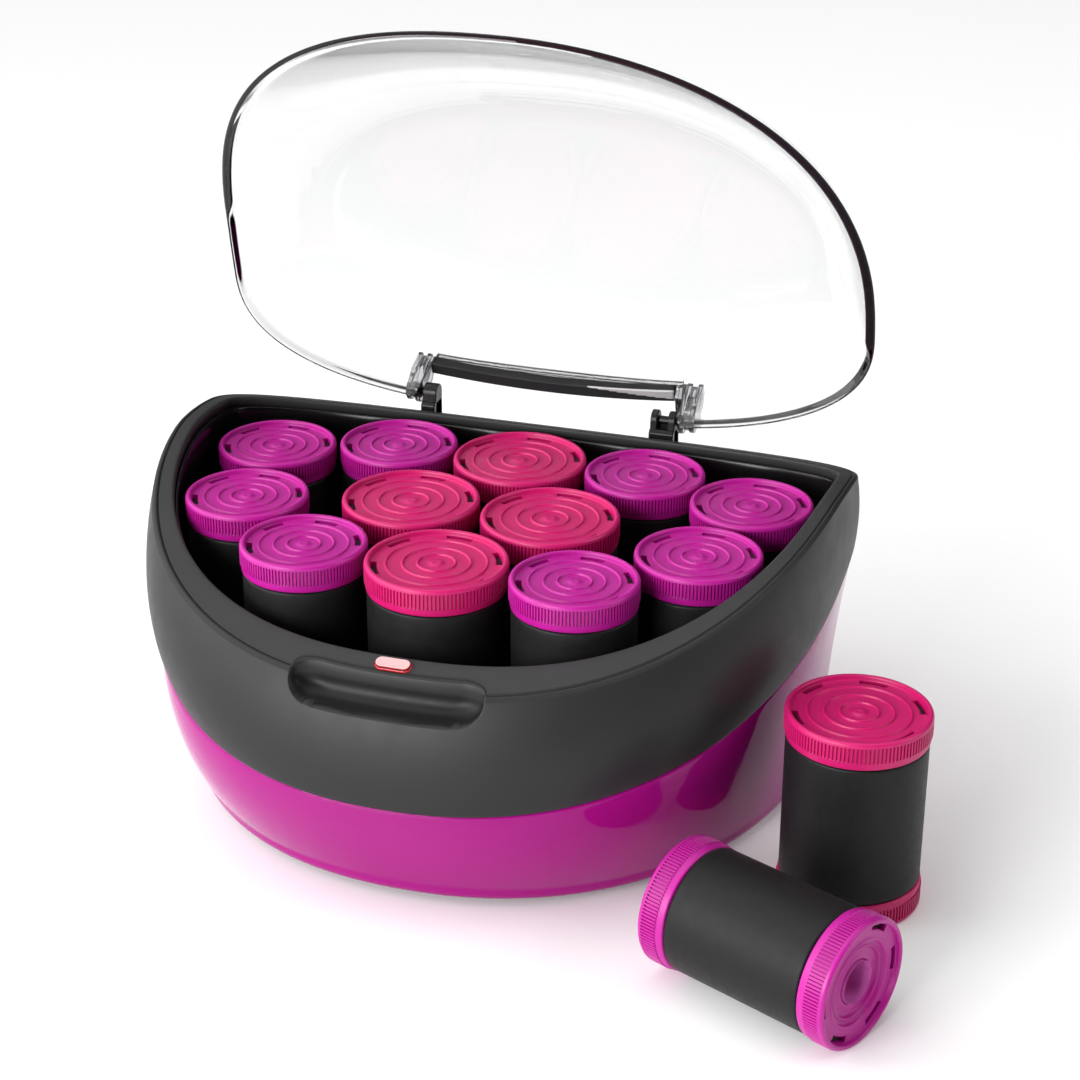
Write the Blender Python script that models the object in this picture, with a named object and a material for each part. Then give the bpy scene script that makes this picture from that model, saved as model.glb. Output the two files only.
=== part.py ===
"""Heated hair-roller set: an open carry-case heater with a hinged clear lid, twelve rollers on
their heating posts and two loose rollers beside it.  Built in millimetres, placed in metres.

Frame: +X to the user's right along the case, +Y towards the hinge, +Z up, the rubber feet and
the loose rollers standing on z = 0.
"""

import math

import bmesh
import bpy
from mathutils import Matrix, Vector

# ---------------------------------------------------------------- driving dimensions (mm)
MM = 0.001
ORIGIN = (21.786, -53.066)         # centre of the whole set's footprint, in the case's own axes

# rollers
CAP_R = {"m": 20.5, "j": 22.9}    # medium and jumbo end caps
BARREL_R = {"m": 19.8, "j": 22.2}
CAP_H = 9.3
ROLLER_H = 67.0
BARREL_GAP = 0.3
SOCKET_R = 6.8                    # the heating socket up the middle of each roller
SOCKET_DEEP = 46.0
CAP_RIM = 2.3                     # width of the raised rim round a cap's face
CAP_SINK = 1.6                    # how far the face sits below that rim
SEAT_Z = 33.8                     # underside of a seated roller
ROUND = 20                        # sides of a round piece

# the twelve seats: (x, y, size), left ones mirrored to the right
CENTRE_SEATS = ((0.0, 0.0, "j"), (0.0, -85.4, "j"))
PAIR_SEATS = (
    (44.4, 0.4, "m"),
    (84.5, -13.1, "m"),
    (24.1, -42.9, "j"),
    (77.2, -56.0, "m"),
    (45.0, -85.0, "m"),
)
LOOSE_STANDING = (134.6, -79.3)
LOOSE_LYING = (122.2, -142.1)
LYING_TURN = -24.3                # degrees, the way its open socket end points

# case outlines: half width, front depth, front roundness, back depth, back roundness
RIM = (116.4, 131.5, 2.40, 31.5, 2.60)
BULGE = (117.6, 138.4, 2.45, 33.2, 2.60)
SEAM = (116.8, 140.8, 2.25, 33.4, 2.60)
WAIST = (111.8, 134.8, 2.43, 32.0, 2.60)
SKIRTING = (109.6, 127.3, 2.16, 28.6, 2.60)
GROUND = (106.6, 124.4, 2.16, 26.0, 2.60)
MOUTH = (109.9, 118.6, 2.50, 25.0, 2.50)
WELL_FOOT = (107.0, 114.6, 2.50, 24.0, 2.50)
RIM_TOP = 109.8                   # crest of the arched rim
RIM_CREST_Y = -24.0
RIM_FRONT_DROP = 29.0             # per 100 mm, to the power 1.5
RIM_BACK_DROP = 32.0              # per 100 mm, squared
SEAM_Z = 80.8
SEAM_SLOPE = 0.277
SHELL_T = 2.0
SKIRT_T = 1.6
SHELL_FOOT_Z = 2.8
AROUND = 56                       # points round a case outline

# floor and heater
TRAY_Z = (31.0, 33.5)
PLATE_Z = (27.7, 30.7)
POST_R = 5.6
POST_TOP = 72.0
POST_HOLE_R = 7.6
BASE_Z = (3.3, 5.8)
FOOT_H = 3.0
FOOT_R = 8.5
FOOT_AT = ((78.0, 0.0), (56.0, -85.0))

# finger recess and lamp
RECESS_X = -1.0
RECESS_HALF = 31.2
RECESS_IN = 5.6                   # how far it eats into the rim
RECESS_DROP = 7.3                 # its floor, below the rim's front
RECESS_ROUND = 4.6                # round along its foot
RECESS_END = 9.0                  # length of its rounded ends
LENS_HALF = 5.8
LENS_R = 2.15
LENS_Y = -122.2
LENS_UP = 1.4
LENS_DEEP = 1.8

# hinge and lid
HINGE_Y = 35.0
HINGE_Z = 105.8
LID_OPEN = 72.5                   # degrees from shut to its stop
LID_EDGE = (115.5, 122.9, 2.24, 43.2, 2.67)
LID_SHIFT_Y = -8.5                # its widest line is this far in front of the case's
LID_T = 2.0
LID_SEAT_GAP = 0.6
LID_TOP = 146.0
LID_SIDE_IN = 27.0
LID_FRONT_IN = 74.0
LID_BACK_IN = 16.0
LID_LEVELS = (0.0, 0.09, 0.22, 0.40, 0.62, 0.84, 1.0)
NOTCH_X = (-47.6, 47.2)
NOTCH_TOP = 13.0                  # above the hinge axis
BLOCK_X = ((-47.0, -41.7), (37.6, 46.6))                       # hinge brackets
PRONG_X = ((-47.0, -41.7), (37.6, 40.2), (43.9, 46.6))         # what stands up from them
BRACKET_Y = (29.0, 38.2)
BRACKET_FOOT_Z = 92.0
BRACKET_TOP = 109.9
KNUCKLE_X = ((-53.4, -47.9), (47.4, 53.4))
PIN_X = (("left", -53.1, -42.0), ("right", 37.9, 53.1))
PIN_R = 1.5
PIN_HOLE_R = 1.85
BAR_X = (-47.1, 43.6)
BAR_Y = 30.2                      # its inner side at the ends
BAR_BOW = 2.7
BAR_SIDES = (3.1, 4.2)


# ---------------------------------------------------------------- scene
for old in list(bpy.data.objects):
    bpy.data.objects.remove(old, do_unlink=True)
for old in list(bpy.data.meshes):
    bpy.data.meshes.remove(old)
scene = bpy.context.scene
scene.unit_settings.system = "METRIC"
scene.unit_settings.scale_length = 1.0


def material(name, rgb, rough, metal=0.0, alpha=1.0, trans=0.0):
    m = bpy.data.materials.new(name)
    m.use_nodes = True
    p = m.node_tree.nodes["Principled BSDF"]
    p.inputs["Base Color"].default_value = (*rgb, 1.0)
    p.inputs["Roughness"].default_value = rough
    p.inputs["Metallic"].default_value = metal
    p.inputs["Alpha"].default_value = alpha
    p.inputs["Transmission Weight"].default_value = trans
    m.diffuse_color = (*rgb, alpha)
    return m


def mesh_object(name, verts, faces, mat=None, smooth=False, origin=(0, 0, 0), helper=False):
    """verts in mm in the case's own axes; origin likewise."""
    me = bpy.data.meshes.new(name)
    o = Vector(origin)
    me.from_pydata([[(v[i] - o[i]) * MM for i in range(3)] for v in verts], [], faces)
    me.validate()
    bm = bmesh.new()
    bm.from_mesh(me)
    bmesh.ops.recalc_face_normals(bm, faces=bm.faces)
    if bm.calc_volume(signed=True) < 0:
        bmesh.ops.reverse_faces(bm, faces=bm.faces)
    bm.to_mesh(me)
    bm.free()
    ob = bpy.data.objects.new(name, me)
    scene.collection.objects.link(ob)
    ob.location = ((o.x - ORIGIN[0]) * MM, (o.y - ORIGIN[1]) * MM, o.z * MM)
    if mat is not None:
        me.materials.append(mat)
    if smooth:
        me.shade_smooth()
    if helper:
        ob.hide_render = True
        ob.display_type = "WIRE"
    return ob


def revolve(profile, n=ROUND, phase=0.0):
    """Closed solid of revolution about +Z from (r, z) points listed as a closed outline."""
    verts, rings, faces = [], [], []
    for r, z in profile:
        if r < 1e-9:
            rings.append([len(verts)])
            verts.append((0.0, 0.0, z))
        else:
            rings.append(list(range(len(verts), len(verts) + n)))
            for i in range(n):
                a = 2 * math.pi * (i + phase) / n
                verts.append((r * math.cos(a), r * math.sin(a), z))
    for k in range(len(rings)):
        a, b = rings[k], rings[(k + 1) % len(rings)]
        if len(a) == 1 and len(b) == 1:
            continue
        for i in range(n):
            j = (i + 1) % n
            if len(a) == 1:
                faces.append((a[0], b[j], b[i]))
            elif len(b) == 1:
                faces.append((a[i], a[j], b[0]))
            else:
                faces.append((a[i], a[j], b[j], b[i]))
    return verts, faces


def moved(verts, matrix):
    return [tuple(matrix @ Vector(v)) for v in verts]


def prism(outline, z0, z1):
    """Straight solid over a plan outline."""
    n = len(outline)
    verts = [(x, y, z0) for x, y in outline] + [(x, y, z1) for x, y in outline]
    faces = [tuple(reversed(range(n))), tuple(range(n, 2 * n))]
    faces += [(i, (i + 1) % n, n + (i + 1) % n, n + i) for i in range(n)]
    return verts, faces


def box(x0, x1, y0, y1, z0, z1):
    return prism(((x0, y0), (x1, y0), (x1, y1), (x0, y1)), z0, z1)


def stadium(half, radius, n=8):
    """Plan outline of a slot centred on the origin, its round ends on X."""
    pts = []
    for k in range(n + 1):
        a = -math.pi / 2 + math.pi * k / n
        pts.append((half - radius + radius * math.cos(a), radius * math.sin(a)))
    for k in range(n + 1):
        a = math.pi / 2 + math.pi * k / n
        pts.append((-half + radius + radius * math.cos(a), radius * math.sin(a)))
    return pts


def joined(*solids):
    verts, faces = [], []
    for v, f in solids:
        k = len(verts)
        verts += list(v)
        faces += [tuple(i + k for i in one) for one in f]
    return verts, faces


def boolean(target, cutter, operation):
    mod = target.modifiers.new(operation.lower() + "_" + cutter.name, "BOOLEAN")
    mod.operation = operation
    mod.solver = "EXACT"
    mod.object = cutter
    cutter.hide_render = True
    cutter.display_type = "WIRE"
    return mod


# ---------------------------------------------------------------- case outlines
def outline(shape, n=AROUND):
    """n points, evenly spaced round the plan, from the middle of the front."""
    a, bf, pf, bb, pb = shape
    dense = []
    steps = 240
    for k in range(steps):
        t = -math.pi / 2 + math.pi * k / steps
        b, p = (bf, pf) if t < 0 else (bb, pb)
        c, s = math.cos(t), math.sin(t)
        dense.append((a * abs(c) ** (2 / p), b * math.copysign(abs(s) ** (2 / p), s)))
    dense.append((0.0, bb))
    dense += [(-x, y) for x, y in reversed(dense[1:-1])]
    dense.append(dense[0])
    run = [0.0]
    for (x0, y0), (x1, y1) in zip(dense, dense[1:]):
        run.append(run[-1] + math.hypot(x1 - x0, y1 - y0))
    pts, k = [], 0
    for i in range(n):
        want = run[-1] * i / n
        while run[k + 1] < want:
            k += 1
        f = (want - run[k]) / (run[k + 1] - run[k])
        pts.append(
            (
                dense[k][0] + f * (dense[k + 1][0] - dense[k][0]),
                dense[k][1] + f * (dense[k + 1][1] - dense[k][1]),
            )
        )
    return pts


def grown(shape, by):
    a, bf, pf, bb, pb = shape
    return (a + by, bf + by, pf, bb + by, pb)


def between(s, t, f):
    return tuple(p + (q - p) * f for p, q in zip(s, t))


def rim_z(y):
    d = (RIM_CREST_Y - y) / 100.0
    if d > 0:
        return RIM_TOP - RIM_FRONT_DROP * d**1.5
    return RIM_TOP - RIM_BACK_DROP * d * d


def seam_z(y):
    return SEAM_Z + SEAM_SLOPE * y


def loop(shape, z):
    pts = outline(shape)
    return [(x, y, z(y) if callable(z) else z) for x, y in pts]


def ring_solid(loops):
    """A closed tube of section through loops that follow one another round its section."""
    n = len(loops[0])
    verts = [p for one in loops for p in one]
    faces = []
    for k in range(len(loops)):
        a, b = k * n, ((k + 1) % len(loops)) * n
        for i in range(n):
            j = (i + 1) % n
            faces.append((a + i, a + j, b + j, b + i))
    return verts, faces


def bowl_solid(loops, first, last):
    """A closed skin through loops that starts and ends in a point."""
    n = len(loops[0])
    verts = [p for one in loops for p in one] + [first, last]
    faces = []
    for k in range(len(loops) - 1):
        a, b = k * n, (k + 1) * n
        for i in range(n):
            j = (i + 1) % n
            faces.append((a + i, a + j, b + j, b + i))
    m = len(loops) * n
    for i in range(n):
        j = (i + 1) % n
        faces.append((m, j, i))
        k = (len(loops) - 1) * n
        faces.append((k + i, k + j, m + 1))
    return verts, faces


def plate(shape, z0, z1):
    return prism(outline(shape), z0, z1)


# ---------------------------------------------------------------- materials
MAGENTA = material("gloss_magenta", (0.447, 0.010, 0.258), 0.16)
BLACK = material("satin_black", (0.038, 0.038, 0.040), 0.42)
DARK = material("well_black", (0.010, 0.010, 0.011), 0.50)
CLEAR = material("clear_acrylic", (0.95, 0.96, 0.96), 0.03, alpha=0.28, trans=0.9)
PURPLE = material("cap_purple", (0.434, 0.014, 0.262), 0.34)
PINK = material("cap_pink", (0.604, 0.017, 0.141), 0.34)
FLOCK = material("black_flock", (0.018, 0.018, 0.019), 0.92)
ALUMINIUM = material("heater_aluminium", (0.62, 0.62, 0.63), 0.38, metal=1.0)
STEEL = material("element_steel", (0.42, 0.41, 0.40), 0.35, metal=1.0)
CERAMIC = material("thermostat_ceramic", (0.78, 0.76, 0.70), 0.55)
LENS = material("lens_rose", (0.80, 0.46, 0.46), 0.18)
LAMP = material("lamp_red", (0.70, 0.05, 0.03), 0.20)
RUBBER = material("foot_rubber", (0.020, 0.020, 0.020), 0.85)
BASE = material("base_black", (0.020, 0.020, 0.021), 0.60)

# ---------------------------------------------------------------- lower shell
seam_low = lambda y: seam_z(y) - 0.4
mid_z = lambda y: 0.5 * (seam_z(y) + 6.5)
shell_v, shell_f = ring_solid(
    [
        loop(grown(SEAM, -0.25), seam_low),
        loop(WAIST, mid_z),
        loop(SKIRTING, 7.5),
        loop(GROUND, SHELL_FOOT_Z),
        loop(grown(GROUND, -SHELL_T), SHELL_FOOT_Z),
        loop(grown(SKIRTING, -SHELL_T), 7.5),
        loop(grown(WAIST, -SHELL_T), mid_z),
        loop(grown(SEAM, -0.25 - SHELL_T), seam_low),
    ]
)
lower_shell = mesh_object("lower_shell", shell_v, shell_f, MAGENTA, smooth=True)

GLAND_X, GLAND_Y, GLAND_Z = -30.0, 30.3, 16.0


def along_y(profile, n, at):
    v, f = revolve(profile, n)
    turn = Matrix.Rotation(-math.pi / 2, 4, "X")   # +Z to +Y
    return moved(v, Matrix.Translation(Vector(at)) @ turn), f


cut_v, cut_f = along_y([(0, -9), (5.6, -9), (5.6, 9), (0, 9)], 16, (GLAND_X, GLAND_Y - 1, GLAND_Z))
boolean(lower_shell, mesh_object("cut_gland", cut_v, cut_f, helper=True), "DIFFERENCE")
gland_v, gland_f = along_y(
    [(3.3, -8), (5.2, -8), (5.2, 0), (8.0, 0), (8.0, 2.0), (6.2, 3.4), (5.2, 12.0), (3.3, 12.0)],
    16,
    (GLAND_X, GLAND_Y, GLAND_Z),
)
cord_gland = mesh_object("cord_gland", gland_v, gland_f, BASE, smooth=True)

# ---------------------------------------------------------------- upper bezel
bulge_z = lambda y: 0.52 * rim_z(y) + 0.48 * seam_z(y)
brow_z = lambda y: 0.80 * rim_z(y) + 0.20 * seam_z(y)
bezel_v, bezel_f = ring_solid(
    [
        loop(RIM, rim_z),
        loop(between(RIM, BULGE, 0.62), brow_z),
        loop(BULGE, bulge_z),
        loop(SEAM, seam_z),
        loop(grown(MOUTH, SKIRT_T), seam_z),
        loop(grown(WELL_FOOT, SKIRT_T), 34.0),
        loop(WELL_FOOT, 34.0),
        loop(MOUTH, rim_z),
    ]
)
upper_bezel = mesh_object("upper_bezel", bezel_v, bezel_f, BLACK, smooth=True)

# hinge brackets: one solid block on the left, a fork of two prongs on the right
brackets = []
for x0, x1 in BLOCK_X:
    brackets.append(
        box(x0, x1, BRACKET_Y[0], BRACKET_Y[1], BRACKET_FOOT_Z, HINGE_Z - 4.6)
    )
bracket_feet = mesh_object("bracket_feet", *joined(*brackets), helper=True)
boolean(upper_bezel, bracket_feet, "UNION")
prongs = []
for x0, x1 in PRONG_X:
    zc, r = BRACKET_TOP - 3.6, 3.6
    pts = [(BRACKET_Y[1] - 0.4, BRACKET_FOOT_Z + 4.0)]
    for k in range(9):
        a = math.pi * k / 8
        pts.append((HINGE_Y + r * math.cos(a) * 0.92, zc + r * math.sin(a)))
    pts.append((BRACKET_Y[0] + 1.2, BRACKET_FOOT_Z + 4.0))
    n = len(pts)
    v = [(x0, y, z) for y, z in pts] + [(x1, y, z) for y, z in pts]
    f = [tuple(range(n)), tuple(reversed(range(n, 2 * n)))]
    f += [(i, (i + 1) % n, n + (i + 1) % n, n + i) for i in range(n)]
    prongs.append((v, f))
bracket_prongs = mesh_object("bracket_prongs", *joined(*prongs), helper=True)
boolean(upper_bezel, bracket_prongs, "UNION")


def along_x(profile, n, at):
    v, f = revolve(profile, n)
    turn = Matrix.Rotation(math.pi / 2, 4, "Y")    # +Z to +X
    return moved(v, Matrix.Translation(Vector(at)) @ turn), f


holes = []
for x0, x1 in BLOCK_X:
    half = (x1 - x0) / 2 + 1.2
    holes.append(
        along_x(
            [(0, -half), (PIN_HOLE_R, -half), (PIN_HOLE_R, half), (0, half)],
            12,
            ((x0 + x1) / 2, HINGE_Y, HINGE_Z),
        )
    )
boolean(upper_bezel, mesh_object("cut_pin_bezel", *joined(*holes), helper=True), "DIFFERENCE")

# finger recess: a trough open to the front and the top, round along its foot and its ends
front_z = rim_z(-RIM[1])
sections = [(front_z + 12.0, 0.0, RECESS_HALF)]
for k in range(6):
    a = math.pi / 2 * k / 5
    up = RECESS_ROUND * (1 - math.sin(a))
    lean = max(0.0, 1 - up / 7.6)
    sections.append(
        (
            front_z - RECESS_DROP + up,
            RECESS_ROUND * (1 - math.cos(a)),
            RECESS_HALF - 8.0 * (1 - math.sqrt(1 - lean * lean)),
        )
    )
verts, faces = [], []
for z, foot, half in sections:
    back = []
    for off, share in ((0.0, -0.12), (1.0, 0.458), (3.5, 0.791), (9.0, 1.0)):
        back.append((half - off, share))
    across = [(-w, share) for w, share in back] + [(0.0, 1.0)] + [(w, share) for w, share in reversed(back)]
    verts.append((RECESS_X - half, -152.0, z))
    for w, share in across:
        x = RECESS_X + w
        y = -RIM[1] * (1 - (abs(x) / RIM[0]) ** RIM[2]) ** (1 / RIM[2])
        verts.append((x, y + RECESS_IN * share - foot, z))
    verts.append((RECESS_X + half, -152.0, z))
m = len(verts) // len(sections)
for k in range(len(sections) - 1):
    for i in range(m):
        j = (i + 1) % m
        faces.append((m * k + i, m * k + j, m * k + m + j, m * k + m + i))
faces.append(tuple(range(m)))
faces.append(tuple(reversed(range(m * (len(sections) - 1), m * len(sections)))))
recess = mesh_object("cut_recess", verts, faces, helper=True)
boolean(upper_bezel, recess, "DIFFERENCE")

# lamp window: a slot let into the front of the rim, square to its slope
lens_slope = math.atan((rim_z(LENS_Y + 2) - rim_z(LENS_Y - 2)) / 4.0)
lens_frame = Matrix.Translation(Vector((RECESS_X, LENS_Y, rim_z(LENS_Y)))) @ Matrix.Rotation(
    lens_slope, 4, "X"
)
v, f = prism(stadium(LENS_HALF + 0.3, LENS_R + 0.3, 6), -6.4, 5.0)
boolean(upper_bezel, mesh_object("cut_lens", moved(v, lens_frame), f, helper=True), "DIFFERENCE")
v, f = prism(stadium(LENS_HALF, LENS_R, 6), -LENS_DEEP, LENS_UP)
indicator_lens = mesh_object("indicator_lens", moved(v, lens_frame), f, LENS, smooth=False)
v, f = along_x([(0, -4.2), (1.5, -3.4), (1.5, 3.4), (0, 4.2)], 10, (0, 0, 0))
v = moved(v, lens_frame @ Matrix.Translation(Vector((0, 0, -4.1))))
indicator_lamp = mesh_object("indicator_lamp", v, f, LAMP, smooth=True)

# ---------------------------------------------------------------- floor, heater, base
seats = list(CENTRE_SEATS)
for x, y, size in PAIR_SEATS:
    seats += [(-x, y, size), (x, y, size)]
seats.sort(key=lambda s: (-round(s[1] / 12.0), s[0]))

tray_v, tray_f = plate(grown(WELL_FOOT, 1.3), *TRAY_Z)
roller_tray = mesh_object("roller_tray", tray_v, tray_f, DARK)
hole_parts = []
for x, y, _ in seats:
    v, f = revolve([(0, -4), (POST_HOLE_R, -4), (POST_HOLE_R, 4), (0, 4)], 14)
    hole_parts.append((moved(v, Matrix.Translation(Vector((x, y, 32.2)))), f))
boolean(roller_tray, mesh_object("cut_tray_holes", *joined(*hole_parts), helper=True), "DIFFERENCE")

plate_v, plate_f = plate(grown(WELL_FOOT, -0.6), *PLATE_Z)
heater_plate = mesh_object("heater_plate", plate_v, plate_f, ALUMINIUM)
post_parts = []
for x, y, _ in seats:
    v, f = revolve(
        [(0, 29.0), (POST_R, 29.0), (POST_R, POST_TOP - 2.2), (POST_R - 2.0, POST_TOP), (0, POST_TOP)], 12
    )
    post_parts.append((moved(v, Matrix.Translation(Vector((x, y, 0)))), f))
boolean(heater_plate, mesh_object("add_posts", *joined(*post_parts), helper=True), "UNION")

# one sheathed heating element, a closed loop pressed up under the plate
ELEMENT_R = 1.6
element_path = outline((66.0, 66.0, 2.3, 16.0, 2.3), 36)
element_path = [(x, y - 16.0) for x, y in element_path]
ev, ef = [], []
ne = len(element_path)
for i, (x, y) in enumerate(element_path):
    (xa, ya), (xb, yb) = element_path[i - 1], element_path[(i + 1) % ne]
    t = Vector((xb - xa, yb - ya)).normalized()
    for k in range(6):
        a = 2 * math.pi * (k + 0.5) / 6
        ev.append(
            (x + t.y * ELEMENT_R * math.cos(a), y - t.x * ELEMENT_R * math.cos(a), 25.8 + ELEMENT_R * math.sin(a))
        )
for i in range(ne):
    for k in range(6):
        a, b = i * 6 + k, i * 6 + (k + 1) % 6
        c, d = ((i + 1) % ne) * 6 + (k + 1) % 6, ((i + 1) % ne) * 6 + k
        ef.append((a, b, c, d))
heating_element = mesh_object("heating_element", ev, ef, STEEL, smooth=True)
v, f = revolve([(0, 17.4), (5.0, 17.4), (5.0, 22.0), (8.0, 22.0), (8.0, 27.4), (0, 27.4)], 16)
thermostat = mesh_object(
    "thermostat", moved(v, Matrix.Translation(Vector((0, -24.0, 0)))), f, CERAMIC, smooth=False
)

base_v, base_f = plate(grown(GROUND, -SHELL_T - 0.9), *BASE_Z)
base_plate = mesh_object("base_plate", base_v, base_f, BASE)
bosses = []
for x, y in ((86.0, 4.0), (-86.0, 4.0), (58.0, -96.0), (-58.0, -96.0)):
    v, f = revolve([(0, 4.5), (4.0, 4.5), (4.0, PLATE_Z[0] - 0.3), (0, PLATE_Z[0] - 0.3)], 12)
    bosses.append((moved(v, Matrix.Translation(Vector((x, y, 0)))), f))
boolean(base_plate, mesh_object("add_bosses", *joined(*bosses), helper=True), "UNION")

for tag, (x, y) in (
    ("rear_left", (-FOOT_AT[0][0], FOOT_AT[0][1])),
    ("rear_right", (FOOT_AT[0][0], FOOT_AT[0][1])),
    ("front_left", (-FOOT_AT[1][0], FOOT_AT[1][1])),
    ("front_right", (FOOT_AT[1][0], FOOT_AT[1][1])),
):
    v, f = revolve([(0, 0), (FOOT_R - 0.8, 0), (FOOT_R, 0.8), (FOOT_R, FOOT_H), (0, FOOT_H)], 16)
    mesh_object(
        "foot_" + tag, moved(v, Matrix.Translation(Vector((x, y, 0)))), f, RUBBER, smooth=False
    )

# ---------------------------------------------------------------- lid
open_turn = (
    Matrix.Translation(Vector((0, HINGE_Y, HINGE_Z)))
    @ Matrix.Rotation(math.radians(-LID_OPEN), 4, "X")
    @ Matrix.Translation(Vector((0, -HINGE_Y, -HINGE_Z)))
)


def lid_edge_z(y):
    return rim_z(y) + LID_SEAT_GAP


def lid_loop(s, skin):
    """The lid's section at height fraction s; skin is how far it is set in from the outside."""
    a, bf, pf, bb, pb = LID_EDGE
    shape = (
        a - LID_SIDE_IN * s**1.25 - skin,
        bf - LID_FRONT_IN * s - skin,
        pf,
        bb - LID_BACK_IN * s**1.25 - skin,
        pb,
    )
    h = math.sin(math.pi / 2 * s)
    pts = []
    for (x, y), (_, ye) in zip(outline(shape), outline(grown(LID_EDGE, -skin))):
        low = lid_edge_z(ye + LID_SHIFT_Y)
        pts.append((x, y + LID_SHIFT_Y, low + (LID_TOP - skin - low) * h))
    return pts


LID_MID_Y = LID_SHIFT_Y + 0.5 * (LID_EDGE[3] - LID_BACK_IN - LID_EDGE[1] + LID_FRONT_IN)


def lid_cap(skin, f, up):
    return [
        (x * f, LID_MID_Y + (y - LID_MID_Y) * f, LID_TOP - skin + up)
        for x, y, _ in lid_loop(1.0, skin)
    ]


outer = [lid_loop(s, 0.0) for s in LID_LEVELS] + [lid_cap(0.0, 0.55, 1.2)]
inner = [lid_loop(s, LID_T) for s in LID_LEVELS] + [lid_cap(LID_T, 0.55, 1.2)]
lid_v, lid_f = bowl_solid(
    list(reversed(inner)) + outer,
    (0, LID_MID_Y, LID_TOP - LID_T + 1.7),
    (0, LID_MID_Y, LID_TOP + 1.7),
)
lid = mesh_object("lid", moved(lid_v, open_turn), lid_f, CLEAR, smooth=True, origin=(0, HINGE_Y, HINGE_Z))


def lid_helper(name, solid):
    v, f = solid
    return mesh_object(name, moved(v, open_turn), f, helper=True)


notch = box(*NOTCH_X, 22.0, 44.0, 90.0, HINGE_Z + NOTCH_TOP)
boolean(lid, lid_helper("cut_lid_notch", notch), "DIFFERENCE")
knuckles = []
for x0, x1 in KNUCKLE_X:
    pts = []
    for k in range(9):
        a = -math.pi + math.pi * k / 8
        pts.append((HINGE_Y + 3.9 * math.cos(a), HINGE_Z + 3.9 * math.sin(a)))
    pts.append((HINGE_Y + 3.0, HINGE_Z + 11.0))
    pts.append((HINGE_Y - 2.0, HINGE_Z + 15.0))
    pts.append((HINGE_Y - 6.6, HINGE_Z + 14.0))
    pts.append((HINGE_Y - 6.6, HINGE_Z + 4.0))
    n = len(pts)
    v = [(x0, y, z) for y, z in pts] + [(x1, y, z) for y, z in pts]
    f = [tuple(range(n)), tuple(reversed(range(n, 2 * n)))]
    f += [(i, (i + 1) % n, n + (i + 1) % n, n + i) for i in range(n)]
    knuckles.append((v, f))
boolean(lid, lid_helper("add_knuckles", joined(*knuckles)), "UNION")
# the right one carries a web inwards over the fork
web = box(44.3, 48.3, HINGE_Y - 6.0, HINGE_Y + 2.4, HINGE_Z + 6.0, HINGE_Z + 14.2)
boolean(lid, lid_helper("add_web", web), "UNION")
holes = []
for x0, x1 in KNUCKLE_X:
    half = (x1 - x0) / 2 + 0.6
    holes.append(
        along_x(
            [(0, -half), (PIN_HOLE_R, -half), (PIN_HOLE_R, half), (0, half)],
            12,
            ((x0 + x1) / 2, HINGE_Y, HINGE_Z),
        )
    )
boolean(lid, mesh_object("cut_pin_lid", *joined(*holes), helper=True), "DIFFERENCE")

for tag, x0, x1 in PIN_X:
    half = (x1 - x0) / 2
    v, f = along_x(
        [(0, -half), (PIN_R, -half), (PIN_R, half), (0, half)],
        12,
        ((x0 + x1) / 2, HINGE_Y, HINGE_Z),
    )
    mesh_object("hinge_pin_" + tag, v, f, STEEL, smooth=False)

# the dark stiffening bar across the top of the lid's notch
bar_v, bar_f = [], []
steps = 12
for i in range(steps + 1):
    u = 2 * i / steps - 1
    x = 0.5 * (BAR_X[0] + BAR_X[1]) + 0.5 * (BAR_X[1] - BAR_X[0]) * u
    y0, z0 = BAR_Y + BAR_BOW * (1 - u * u), HINGE_Z + 8.4
    bar_v += [
        (x, y0, z0),
        (x, y0 + BAR_SIDES[0], z0),
        (x, y0 + BAR_SIDES[0], z0 + BAR_SIDES[1]),
        (x, y0, z0 + BAR_SIDES[1]),
    ]
for i in range(steps):
    for k in range(4):
        m = (k + 1) % 4
        bar_f.append((4 * i + m, 4 * i + k, 4 * i + 4 + k, 4 * i + 4 + m))
bar_f += [(0, 1, 2, 3), (4 * steps + 3, 4 * steps + 2, 4 * steps + 1, 4 * steps)]
lid_hinge_bar = mesh_object(
    "lid_hinge_bar", moved(bar_v, open_turn), bar_f, BASE, origin=(0, HINGE_Y, HINGE_Z)
)


# ---------------------------------------------------------------- rollers
def roller_parts(size):
    """(suffix, vertices, faces) of one roller standing on z = 0, its socket facing down."""
    R, B = CAP_R[size], BARREL_R[size]
    top = revolve(
        [
            (0, ROLLER_H - CAP_H),
            (R, ROLLER_H - CAP_H),
            (R, ROLLER_H),
            (R - CAP_RIM, ROLLER_H),
            (R - CAP_RIM, ROLLER_H - CAP_SINK),
            (0, ROLLER_H - CAP_SINK),
        ]
    )
    low, high = CAP_H + BARREL_GAP, ROLLER_H - CAP_H - BARREL_GAP
    barrel = revolve([(SOCKET_R, low), (B, low), (B, high), (0, high), (0, SOCKET_DEEP), (SOCKET_R, SOCKET_DEEP)])
    bottom = revolve(
        [
            (SOCKET_R, CAP_SINK),
            (R - CAP_RIM, CAP_SINK),
            (R - CAP_RIM, 0),
            (R, 0),
            (R, CAP_H),
            (SOCKET_R, CAP_H),
        ]
    )
    return (("cap_top", top), ("barrel", barrel), ("cap_bottom", bottom))


def place_roller(tag, size, matrix):
    paint = {"m": PURPLE, "j": PINK}[size]
    origin = tuple(matrix @ Vector((0, 0, 0)))
    for suffix, (v, f) in roller_parts(size):
        mesh_object(
            tag + "_" + suffix,
            moved(v, matrix),
            f,
            FLOCK if suffix == "barrel" else paint,
            smooth=False,
            origin=origin,
        )


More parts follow.
